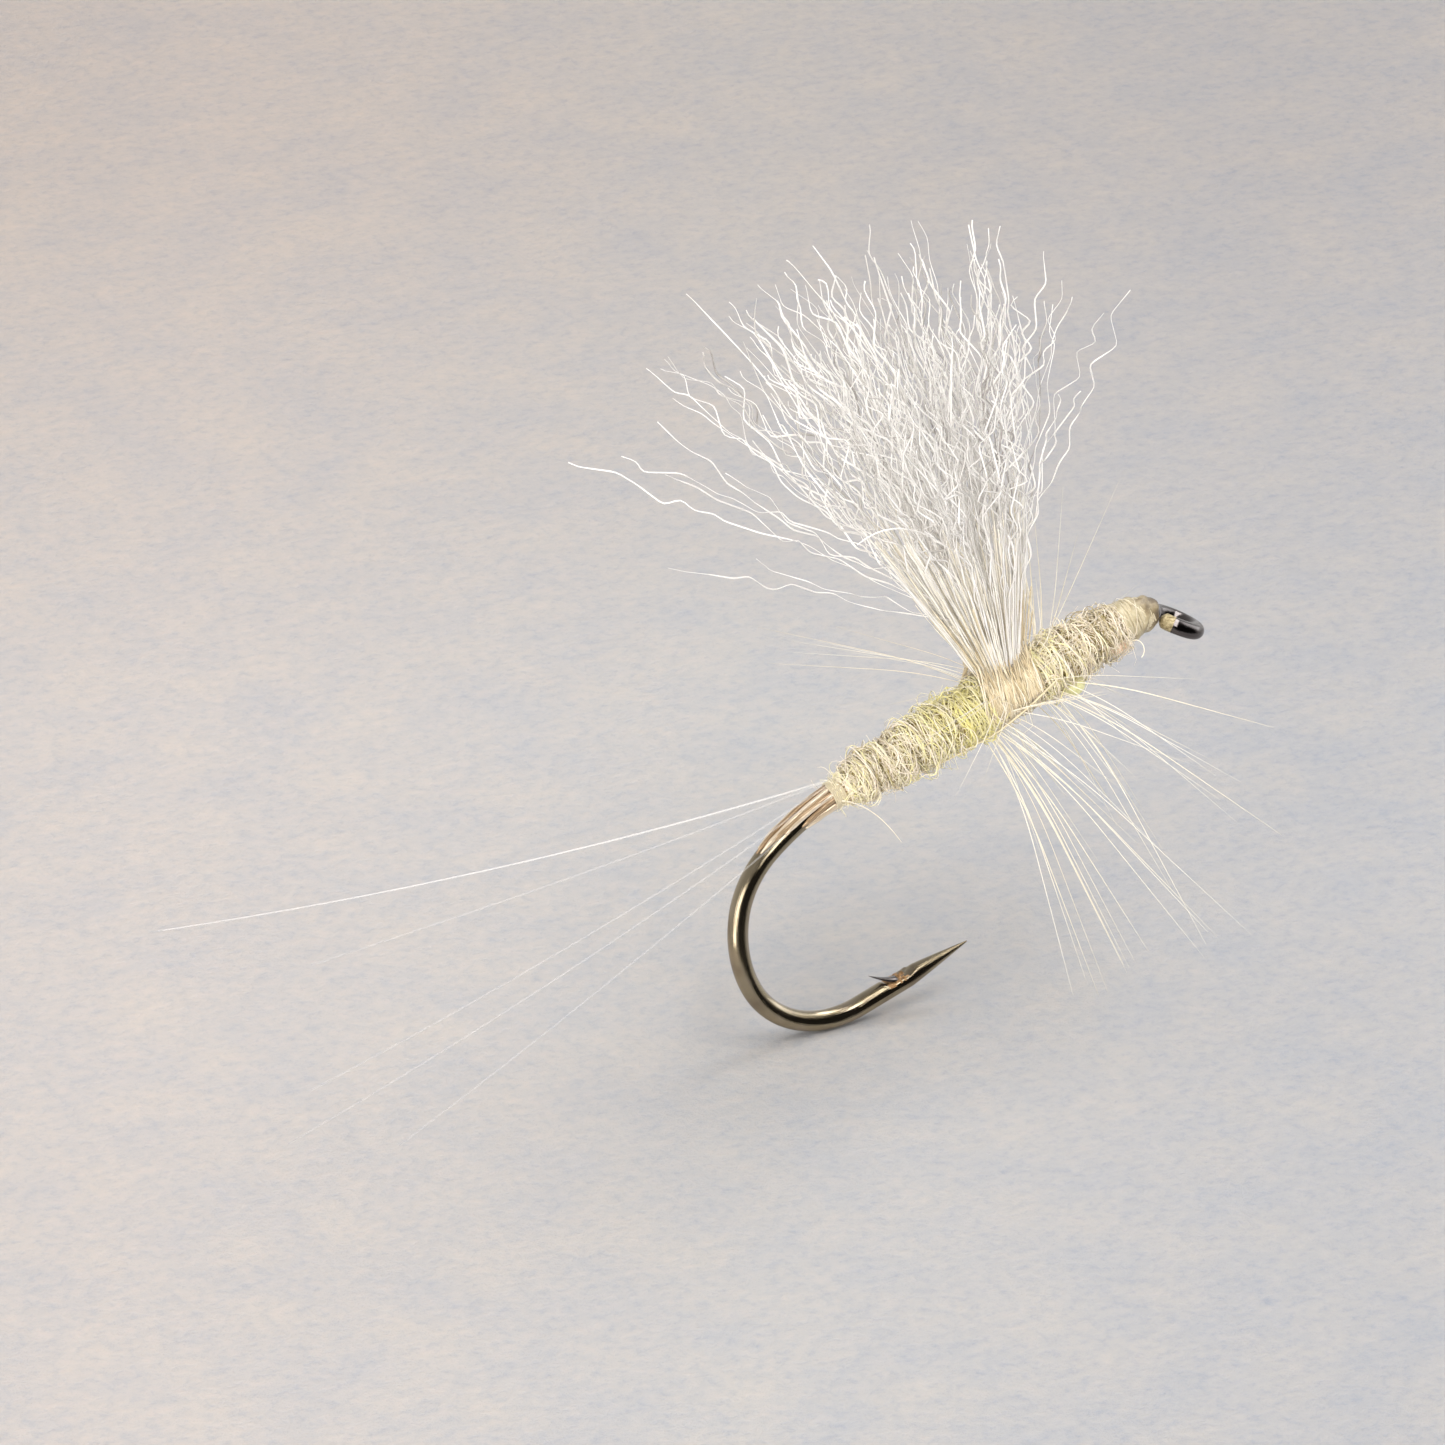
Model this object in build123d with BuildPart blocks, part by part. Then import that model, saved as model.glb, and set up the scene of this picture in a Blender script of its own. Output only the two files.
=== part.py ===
from build123d import *
import os
from math import acos, cos, degrees, radians, sin, sqrt, tan

# Dry fly: an upright-winged dun on a down-eye hook. Millimetres, +Z up, the eye towards +X.
# The hook lies in the XZ plane. It stands on its bend and on the tips of its lower hackle
# barbs, with the shank tilted up. Stations are measured along the shank from the body's rear.

# Hook
WIRE_D = 0.38
SHANK_TILT = 18.5
BODY_REAR_X = 1.74  # where the body's rear stands, so that the origin is under the middle
BEND_START = 0.25
BEND = ((4.7, 22), (1.85, 43), (2.5, 33), (1.86, 82))  # (radius, turn), adding up to a half turn
SPEAR_END = 0.2
POINT_LENGTH = 1.31
POINT_R = 0.015
BARB_ROOT = (-0.36, -0.05)
BARB_TIP = (-0.5, 0.5)  # back along the spear, up into the gap
BARB_WIDTH = 0.1

# Eye
EYE_WIRE_D = 0.30
EYE_RING_R = 0.425  # to the middle of the wire
EYE_BORE_R = 0.29
EYE_DROP = 45  # degrees below the shank
EYE_NECK_R = 0.30
EYE_FLARE_R = 0.35  # the sideways bend from the neck into the ring
EYE_CLOSURE = 200  # where the ring's cut end stops, in degrees round the ring
TAPER_START = 5.9
TAPER_END = 6.35
NECK_START = 6.59

# Thread and tail
THREAD_BASE_R = 0.22
THREAD_BASE_START = 0.0
TAIL_SPLAY = (32.2, 19.8, 0.5, -3.9, -12.6)  # degrees towards +Y
TAIL_LENGTH = (12.6, 9.9, 11.2, 12.3, 11.2)
TAIL_R = (0.028, 0.011)  # root and tip
TAIL_BUTT_LENGTH = 1.6
TAIL_LAY_R = 0.245  # how far the fibres lie from the shank's axis
TAIL_SPREAD = 0.08  # sideways distance between neighbours
LASHING_STATIONS = (-0.05, 0.0, 0.05, 0.1)
LASHING_R = 0.022
CEMENT_FILM = 0.025
CEMENT_TURN = 19  # degrees of the bend's first arc

# Body
BODY_BORE_R = 0.275
ABDOMEN_SPAN = (0.15, 3.15)
ABDOMEN_TURNS = 13
ABDOMEN_R = (0.30, 0.48)
HACKLE_CORE_R = 0.40
THORAX_REAR_SPAN = (3.15, 3.72)
THORAX_REAR_TURNS = 2
WING_WRAP_SPAN = (3.72, 4.18)
THORAX_MIDDLE_SPAN = (4.18, 4.78)
THORAX_MIDDLE_TURNS = 2
THORAX_SPAN = (4.78, 6.2)
THORAX_TURNS = 5
THORAX_R = (0.46, 0.37)
RIDGE = 0.22  # how far a turn of dubbing bulges, as a share of its pitch

# Wing
WING_STATION = 3.95
WING_SPLIT = 1.7  # height over the shank where the bundle opens into locks
WING_WRAP_R = 0.33
WING_WRAP_TURNS = 6
WING_WAIST_R = 0.2
WING_SPLIT_R = (0.85, 1.0)  # along and across the shank
WING_BUTT_SPAN = (2.3, 3.7)
WING_BUTTS = 7
WING_BUTT_R = 0.025
WING_BUTT_ARC = 120
WING_FAN = (21, 25)  # degrees to each side, along and across the shank
WING_LENGTH = 9.1
LOCK_COLUMNS = (-1, -0.5, 0, 0.5, 1)  # places across the fan
LOCK_STAGGER = 0.08
LOCK_GAP = 0.05  # over the root
LOCK_UNEVEN = 0.06  # share of the length by which a lock falls short
LOCK_R = (0.16, 0.10)
STRAY_COUNT = 10
STRAY_GAP = 0.2  # over the root
STRAY_LENGTH = 8.2
STRAY_R = (0.03, 0.015)
STRAY_LEAN = (30, 48)  # degrees from the wing's middle

# Hackle: (station, sweep towards the eye in degrees) of each turn
HACKLE_TURNS = ((3.28, -13), (3.55, -8), (4.30, 2), (4.48, 9), (4.66, 16))
QUILL_R = 0.04
HACKLE_TIP = ((4.49, -0.27, -0.62), (2.0, -0.71, -0.19))  # along, up and sideways, at each end
HACKLE_TIP_R = (0.025, 0.012)
BARBS_PER_TURN = 11
BARB_LENGTH = 6.0
BARB_R = (0.022, 0.008)
BARB_STRAY = 7  # degrees to each side of a turn's sweep
BARB_UNEVEN = 0.12  # share of the length by which a barb falls short
BARE_TOP = 70  # degrees over the shank that the wing fills
FLOOR_GAP = 0.02

# Head
HEAD_SPAN = (6.2, 6.55)
HEAD_TURNS = 7
HEAD_BORE_R = 0.19
HEAD_R = (0.34, 0.27)
WHIP_STATIONS = (6.58, 6.63, 6.68)
WHIP_THREAD_R = 0.025
VARNISH_GAP = 0.03  # over the thread's ridges
VARNISH = 0.025

GOLDEN_TURN = 137.508
SHARE = 0.618034  # steps that never line up

os.makedirs("parts", exist_ok=True)


def bend_end():
    """The height that the bend ends at and the centre of its last arc, from the body's rear."""
    x, y, heading = BEND_START, 0.0, 180
    for radius, turn in BEND:
        centre = (x - radius * sin(radians(heading)), y + radius * cos(radians(heading)))
        heading += turn
        x = centre[0] + radius * sin(radians(heading))
        y = centre[1] - radius * cos(radians(heading))
    return y, centre


wire_r = WIRE_D / 2
eye_wire_r = EYE_WIRE_D / 2
spear_y, last_centre = bend_end()
tilt_sin, tilt_cos = sin(radians(SHANK_TILT)), cos(radians(SHANK_TILT))
rear_height = BEND[-1][0] + wire_r - last_centre[0] * tilt_sin - last_centre[1] * tilt_cos

# The hook's own plane: x along the shank towards the eye, y up and square to it.
hook_plane = Plane(
    origin=(BODY_REAR_X, 0, rear_height), x_dir=(tilt_cos, 0, tilt_sin), z_dir=(0, -1, 0)
)
shank_axis = Axis(hook_plane.origin, hook_plane.x_dir)


def at(along, up, side=0.0):
    """The point at this station, height over the shank and distance towards +Y."""
    return hook_plane.from_local_coords(Vector(along, up, -side))


def section(along):
    """The plane across the shank at a station: x up, y towards -Y, z towards the eye."""
    return Plane(origin=at(along, 0), x_dir=hook_plane.y_dir, z_dir=hook_plane.x_dir)


def wing_level(up):
    """The plane across the wing at a height over the shank."""
    return Plane(origin=at(WING_STATION, up), x_dir=hook_plane.x_dir, z_dir=hook_plane.y_dir)


def save(node, label):
    node.part.label = label
    export_step(node.part, f"parts/{label}.step")


def turned(label, outline):
    """A ring round the shank, from its (station, radius) outline."""
    with BuildPart() as node:
        with BuildSketch(hook_plane):
            with BuildLine():
                Polyline(*outline, close=True)
            make_face()
        revolve(axis=shank_axis)
    save(node, label)


def wound(label, span, turns, bore_r, outer_r):
    """A wound ring round the shank: its outside bulges once a turn between two end radii."""
    start, stop = span
    pitch = (stop - start) / turns

    def rim(turn):
        share = turn / turns
        return start + turn * pitch, outer_r[0] + (outer_r[1] - outer_r[0]) * sqrt(share)

    with BuildPart() as node:
        with BuildSketch(hook_plane):
            with BuildLine():
                Polyline(rim(0), (start, bore_r), (stop, bore_r), rim(turns))
                for turn in range(turns):
                    middle = rim(turn + 0.5)
                    crest = (middle[0], middle[1] + RIDGE * pitch)
                    ThreePointArc(rim(turn), crest, rim(turn + 1))
            make_face()
        revolve(axis=shank_axis)
    save(node, label)


def coiled(label, stations, ring_r, tube_r):
    """Separate closed turns round the shank."""
    with BuildPart() as node:
        for along in stations:
            with Locations(section(along)):
                Torus(ring_r, tube_r)
    save(node, label)


def strands(label, runs, sides=6):
    """Separate tapered strands, one for each (root, tip, (root radius, tip radius))."""
    with BuildPart() as node:
        for root, tip, radii in runs:
            for end, radius in zip((root, tip), radii):
                with BuildSketch(Plane(origin=end, z_dir=tip - root)):
                    RegularPolygon(radius, sides)
            loft()
    save(node, label)


# Hook: shank, bend and spear as one swept wire, then the cone of the point and the raised barb
with BuildPart() as hook:
    with BuildLine(hook_plane) as wire_path:
        run = Line((TAPER_START, 0), (BEND_START, 0))
        for radius, turn in BEND:
            run = JernArc(run @ 1, run % 1, radius, turn)
        Line(run @ 1, at(SPEAR_END, spear_y))
    with BuildSketch(Plane(origin=at(TAPER_START, 0), z_dir=-hook_plane.x_dir)):
        Circle(wire_r)
    sweep(path=wire_path.line)
    for along, up, radius in ((SPEAR_END, spear_y, wire_r), (SPEAR_END + POINT_LENGTH, spear_y, POINT_R)):
        with BuildSketch(Plane(origin=at(along, up), z_dir=hook_plane.x_dir)):
            Circle(radius)
    loft()
    with BuildSketch(hook_plane):
        with BuildLine():
            Polyline(
                (BARB_ROOT[0], spear_y),
                (BARB_ROOT[1], spear_y),
                (BARB_TIP[0], spear_y + BARB_TIP[1]),
                close=True,
            )
        make_face()
    extrude(amount=BARB_WIDTH / 2, both=True)
    # the shank thins to the eye's wire, which turns down, flares to one side and rounds the ring
    for along, radius in ((TAPER_START, wire_r), (TAPER_END, eye_wire_r)):
        with BuildSketch(section(along)):
            Circle(radius)
    loft()
    with BuildLine(hook_plane) as neck_path:
        neck = Line((TAPER_END, 0), (NECK_START, 0))
        neck = JernArc(neck @ 1, neck % 1, EYE_NECK_R, -EYE_DROP)
    with BuildSketch(section(TAPER_END)):
        Circle(eye_wire_r)
    sweep(path=neck_path.line)
    eye_plane = Plane(origin=neck @ 1, x_dir=neck % 1, z_dir=(neck % 1).cross(Vector(0, 1, 0)))
    flare = degrees(acos(EYE_FLARE_R / (EYE_FLARE_R + EYE_RING_R)))
    with BuildLine(eye_plane) as ring_path:
        bow = JernArc((0, 0), (1, 0), EYE_FLARE_R, flare)
        JernArc(bow @ 1, bow % 1, EYE_RING_R, -(90 + flare + 360 - EYE_CLOSURE))
    with BuildSketch(Plane(origin=neck @ 1, z_dir=neck % 1)):
        Circle(eye_wire_r)
    sweep(path=ring_path.line)
    eye_reach = (EYE_FLARE_R + EYE_RING_R) * sin(radians(flare))
    with BuildSketch(Plane(eye_plane.from_local_coords(Vector(eye_reach, 0)), z_dir=eye_plane.z_dir)):
        Circle(EYE_BORE_R)
    extrude(amount=EYE_WIRE_D, both=True, mode=Mode.SUBTRACT)
save(hook, "hook")

# Thread along the shank
thread_span = (THREAD_BASE_START, TAPER_START)
turned(
    "thread_base",
    [(along, wire_r) for along in thread_span]
    + [(along, THREAD_BASE_R) for along in reversed(thread_span)],
)

# Tail: five fibres side by side on the shank, fanned out behind the bend
tail_sides = [TAIL_SPREAD * (2 - fibre) for fibre in range(len(TAIL_SPLAY))]
for number, (splay, length, side) in enumerate(zip(TAIL_SPLAY, TAIL_LENGTH, tail_sides), 1):
    root = at(ABDOMEN_SPAN[0], sqrt(TAIL_LAY_R**2 - side**2), side)
    heading = Vector(0, sin(radians(splay)), 0) - hook_plane.x_dir * cos(radians(splay))
    strands(f"tail_fibre_{number}", [(root, root + heading * length, TAIL_R)])
butt_r = TAIL_R[0]
butt_runs = [
    (
        at(ABDOMEN_SPAN[0], sqrt(TAIL_LAY_R**2 - side**2), side),
        at(ABDOMEN_SPAN[0] + TAIL_BUTT_LENGTH, sqrt(TAIL_LAY_R**2 - side**2), side),
        (butt_r, butt_r),
    )
    for side in tail_sides
]
strands("tail_butts", butt_runs)
coiled("tail_lashing", LASHING_STATIONS, TAIL_LAY_R + TAIL_R[0] + LASHING_R, LASHING_R)
with BuildPart() as tail_cement:
    with BuildLine(hook_plane) as film_path:
        JernArc((BEND_START, 0), (-1, 0), BEND[0][0], CEMENT_TURN)
    with BuildSketch(Plane(origin=at(BEND_START, 0), z_dir=-hook_plane.x_dir)):
        Circle(wire_r + CEMENT_FILM)
        Circle(wire_r, mode=Mode.SUBTRACT)
    sweep(path=film_path.line)
save(tail_cement, "tail_cement")

# Body
wound("abdomen_dubbing", ABDOMEN_SPAN, ABDOMEN_TURNS, BODY_BORE_R, ABDOMEN_R)
core_rs = (HACKLE_CORE_R, HACKLE_CORE_R)
wound("thorax_dubbing_rear", THORAX_REAR_SPAN, THORAX_REAR_TURNS, BODY_BORE_R, core_rs)
wound("thorax_dubbing_middle", THORAX_MIDDLE_SPAN, THORAX_MIDDLE_TURNS, THREAD_BASE_R, core_rs)
wound("thorax_dubbing_front", THORAX_SPAN, THORAX_TURNS, THREAD_BASE_R, THORAX_R)

# Wing: lashed butts, upright wraps, a dense root and the locks that fan out of it
with BuildPart() as wing_butts:
    with BuildSketch(section(WING_BUTT_SPAN[0])):
        lay_r = THREAD_BASE_R + WING_BUTT_R
        with PolarLocations(lay_r, WING_BUTTS, -WING_BUTT_ARC / 2, WING_BUTT_ARC, endpoint=True):
            Circle(WING_BUTT_R)
    extrude(amount=WING_BUTT_SPAN[1] - WING_BUTT_SPAN[0])
save(wing_butts, "wing_butts")
wound("wing_wraps", WING_WRAP_SPAN, WING_WRAP_TURNS, THREAD_BASE_R, (WING_WRAP_R, WING_WRAP_R))
with BuildPart() as wing_root:
    with BuildSketch(wing_level(WING_WRAP_R)):
        Circle(WING_WAIST_R)
    with BuildSketch(wing_level(WING_SPLIT)):
        Ellipse(*WING_SPLIT_R)
    loft()
save(wing_root, "wing_root")


def wing_ray(lean_along, lean_across):
    """The direction of a strand that leans by these tangents from the wing's middle."""
    ray = hook_plane.y_dir + hook_plane.x_dir * lean_along + Vector(0, lean_across, 0)
    return ray.normalized(), ray


fan_along, fan_across = (tan(radians(angle)) for angle in WING_FAN)
for name, row in (("rear", -1), ("middle", 0), ("front", 1)):
    lock_runs = []
    for lock, column in enumerate(LOCK_COLUMNS):
        heading, ray = wing_ray(fan_along * (row + LOCK_STAGGER * column), fan_across * column)
        root = at(WING_STATION, 0) + ray * (WING_SPLIT + LOCK_GAP)
        length = WING_LENGTH * (1 - LOCK_UNEVEN * ((row + lock * 2) * SHARE % 1))
        lock_runs.append((root, at(WING_STATION, 0) + heading * length, LOCK_R))
    strands(f"wing_locks_{name}", lock_runs, sides=8)
stray_runs = []
for stray in range(STRAY_COUNT):
    around = radians(GOLDEN_TURN * stray)
    lean = STRAY_LEAN[0] + (STRAY_LEAN[1] - STRAY_LEAN[0]) * stray / STRAY_COUNT
    slope = tan(radians(lean))
    heading, ray = wing_ray(slope * cos(around), slope * sin(around))
    root = at(WING_STATION, 0) + ray * (WING_SPLIT + STRAY_GAP)
    stray_runs.append((root, at(WING_STATION, 0) + heading * STRAY_LENGTH, STRAY_R))
strands("wing_strays", stray_runs)

# Hackle: the quill's turns, its trailing tip and the barbs of each turn
quill_ring_r = HACKLE_CORE_R + QUILL_R * 2
coiled("hackle_quill", [along for along, sweep_angle in HACKLE_TURNS], quill_ring_r, QUILL_R)
strands("hackle_tip", [(*(at(*place) for place in HACKLE_TIP), HACKLE_TIP_R)])
for number, (along, sweep_angle) in enumerate(HACKLE_TURNS, 1):
    barb_runs = []
    for barb in range(BARBS_PER_TURN):
        step = (barb + number * SHARE % 1) / BARBS_PER_TURN
        clock = radians(BARE_TOP / 2 + (360 - BARE_TOP) * step)
        radial = hook_plane.y_dir * cos(clock) + Vector(0, -sin(clock), 0)
        lean = radians(sweep_angle + BARB_STRAY * sin(radians(GOLDEN_TURN * (barb + number))))
        heading = radial * cos(lean) + hook_plane.x_dir * sin(lean)
        root = at(along, 0) + radial * (quill_ring_r + QUILL_R)
        reach = BARB_LENGTH * (1 - BARB_UNEVEN * ((barb + number) * SHARE % 1))
        if heading.Z < 0:
            reach = min(reach, (root.Z - FLOOR_GAP) / -heading.Z)
        barb_runs.append((root, root + heading * reach, BARB_R))
    strands(f"hackle_barbs_{number}", barb_runs)

# Head
wound("head_wraps", HEAD_SPAN, HEAD_TURNS, HEAD_BORE_R, HEAD_R)
coiled("whip_finish", WHIP_STATIONS, HEAD_BORE_R + WHIP_THREAD_R, WHIP_THREAD_R)
film = [(along, radius + VARNISH_GAP) for along, radius in zip(HEAD_SPAN, HEAD_R)]
turned("head_cement", film + [(along, radius + VARNISH) for along, radius in reversed(film)])
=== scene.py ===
from math import acos, ceil, cos, degrees, pi, radians, sin, sqrt

import bpy
import numpy as np
from mathutils import Matrix, Vector


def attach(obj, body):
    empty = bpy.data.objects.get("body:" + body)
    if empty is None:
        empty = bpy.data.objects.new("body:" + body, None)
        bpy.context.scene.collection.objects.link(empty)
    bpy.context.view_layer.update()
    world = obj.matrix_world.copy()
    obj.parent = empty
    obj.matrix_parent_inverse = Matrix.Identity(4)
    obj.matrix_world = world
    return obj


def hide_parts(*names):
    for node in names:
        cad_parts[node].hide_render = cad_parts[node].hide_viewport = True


# Looks of the dry fly. Lengths are millimetres until make() turns them into metres.
# Along = station on the shank from the body's rear to the eye, up = square to the shank in the
# hook's plane, side = towards the fly's left. Clock angles round the shank start at up and turn
# towards the fly's right, which is the near side in the main view.

MM = 0.001

# Driving dimensions, the same as the CAD model's
SHANK_TILT = 18.5
BODY_REAR_X = 1.74
WIRE_R = 0.19
BEND_START = 0.25
BEND = ((4.7, 22), (1.85, 43), (2.5, 33), (1.86, 82))
SPEAR_END = 0.2
POINT_LENGTH = 1.31
POINT_R = 0.012
EYE_WIRE_R = 0.15
EYE_RING_R = 0.425
EYE_DROP = 45
EYE_NECK_R = 0.30
EYE_FLARE_R = 0.35
EYE_CLOSURE = 200
EYE_STEP = 0.03  # between points along the ring
TAPER = (5.9, 6.35)
NECK_START = 6.59
HACKLE_STATIONS = (3.28, 3.55, 4.30, 4.48, 4.66)
QUILL_RING_R = 0.46

rng = np.random.default_rng(16)


def uniform(low, high, *shape):
    return rng.uniform(low, high, shape)


def unit(vectors):
    return vectors / np.linalg.norm(vectors, axis=-1, keepdims=True)


def smooth_step(low, high, value):
    share = np.clip((value - low) / (high - low), 0, 1)
    return share * share * (3 - 2 * share)


# ------------------------ the hook's own axes

tilt = radians(SHANK_TILT)
ALONG = np.array((cos(tilt), 0, sin(tilt)))
UP = np.array((-sin(tilt), 0, cos(tilt)))
SIDE = np.array((0.0, 1.0, 0.0))
WORLD_UP = np.array((0.0, 0.0, 1.0))


def arc(radius, turn):
    """An arc as the (length, turn) of a move."""
    return abs(radius * radians(turn)), radians(turn)


def walk(start, heading, moves, step=0.045):
    """Points along straight moves and arcs in a plane, each move a (length, turn)."""
    points = [np.array(start, float)]
    heading = radians(heading)
    for length, turn in moves:
        count = ceil(length / step)
        bit = turn / count
        chord = length / count * (sin(bit / 2) / (bit / 2) if bit else 1)
        for _ in range(count):
            heading += bit / 2
            points.append(points[-1] + chord * np.array((cos(heading), sin(heading))))
            heading += bit / 2
    return np.array(points)


bend_path = walk((TAPER[0], 0), 180, [(TAPER[0] - BEND_START, 0), *(arc(r, t) for r, t in BEND)])
SPEAR_UP = bend_path[-1][1]
rear_height = WIRE_R - np.min(bend_path @ (sin(tilt), cos(tilt)))
REAR = np.array((BODY_REAR_X, 0, rear_height))


def at(along, up, side=0.0):
    """Points from stations, heights over the shank and sideways distances."""
    along, up, side = (np.asarray(v, float)[..., None] for v in (along, up, side))
    return REAR + along * ALONG + up * UP + side * SIDE


def radial(clock):
    """Directions square to the shank, from clock angles in radians."""
    clock = np.asarray(clock, float)[..., None]
    return np.cos(clock) * UP - np.sin(clock) * SIDE


def leaning(clock, lean):
    """Directions at clock angles that lean towards the eye, both in degrees."""
    lean = np.radians(np.asarray(lean, float))[..., None]
    return np.cos(lean) * radial(np.radians(clock)) + np.sin(lean) * ALONG


# ------------------------ mesh building


class Piece:
    """Gathers closed tubes, then makes them one mesh object."""

    def __init__(self):
        self.parts = []
        self.count = 0

    def tubes(self, paths, radii, sides=3, flat=1.0, spin=0.0, tone=None, finish=0):
        """Adds a closed tube along each of the paths, an array of (strands, points, 3).

        radii is for each strand, point and side; flat thins the tube across its spin angle.
        tone is for each strand, or each strand and point; finish is the material's index.
        """
        paths = np.asarray(paths, float)
        strands, points = paths.shape[:2]
        radii = np.broadcast_to(radii, (strands, points, sides))
        spin = np.broadcast_to(spin, (strands, points))[..., None]
        line = unit(np.gradient(paths, axis=1))
        steep = np.abs(line[:, 0, 2:]) > 0.8
        normal = unit(np.cross(line[:, 0], np.where(steep, SIDE, WORLD_UP)))
        normals = []
        for point in range(points):
            ahead = line[:, point]
            normal = unit(normal - ahead * np.sum(normal * ahead, axis=-1, keepdims=True))
            normals.append(normal)
        across = np.stack(normals, axis=1)
        over = np.cross(line, across)
        wide = across * np.cos(spin) + over * np.sin(spin)
        thin = over * np.cos(spin) - across * np.sin(spin)
        clock = 2 * pi * np.arange(sides) / sides
        rings = (
            paths[:, :, None]
            + wide[:, :, None] * (np.cos(clock) * radii)[..., None]
            + thin[:, :, None] * (np.sin(clock) * radii * flat)[..., None]
        )
        tone = uniform(0, 1, strands) if tone is None else np.asarray(tone, float)
        if tone.ndim < 2:
            tone = tone.reshape(-1, 1)
        travelled = np.cumsum(np.linalg.norm(np.diff(paths, axis=1), axis=-1), axis=1)
        travelled = np.pad(travelled, ((0, 0), (1, 0)))
        grain = np.stack(
            np.broadcast_arrays(np.cos(clock), np.sin(clock), travelled[..., None]), axis=-1
        )
        shape = (strands, points, sides)
        ids = self.count + np.arange(strands * points * sides).reshape(shape)
        here, there = ids[:, :-1], ids[:, 1:]
        quads = np.stack(
            (here, np.roll(here, -1, 2), np.roll(there, -1, 2), there), axis=-1
        ).reshape(-1, 4)
        caps = np.concatenate((ids[:, 0, ::-1], ids[:, -1])).tolist()
        self.parts.append(
            {
                "verts": rings.reshape(-1, 3),
                "faces": quads.tolist() + caps,
                "finish": np.full(len(quads) + len(caps), finish),
                "tone": np.broadcast_to(tone[..., None], shape).ravel(),
                "share": np.broadcast_to(np.linspace(0, 1, points)[:, None], shape).ravel(),
                "grain": grain.reshape(-1, 3),
            }
        )
        self.count += strands * points * sides
        return self.parts[-1]

    def make(self, name, materials, slot, *nodes):
        """Makes the object, and lets it stand for the CAD nodes."""
        gathered = {
            key: np.concatenate([part[key] for part in self.parts])
            for key in ("verts", "finish", "tone", "share", "grain")
        }
        mesh = bpy.data.meshes.new(name)
        faces = [face for part in self.parts for face in part["faces"]]
        mesh.from_pydata((gathered["verts"] * MM).tolist(), [], faces)
        finish = gathered["finish"]
        mesh.polygons.foreach_set("material_index", finish.astype(np.int32))
        mesh.polygons.foreach_set("use_smooth", np.ones(len(finish), bool))
        for key, kind in (("tone", "FLOAT"), ("share", "FLOAT"), ("grain", "FLOAT_VECTOR")):
            field = "value" if kind == "FLOAT" else "vector"
            values = gathered[key].astype(np.float32).ravel()
            mesh.attributes.new(key, kind, "POINT").data.foreach_set(field, values)
        for material in materials:
            mesh.materials.append(material)
        mesh.update()
        thing = bpy.data.objects.new(name, mesh)
        bpy.context.scene.collection.objects.link(thing)
        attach(thing, "root")
        if nodes:
            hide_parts(*nodes)
        return thing


# ------------------------ materials


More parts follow.
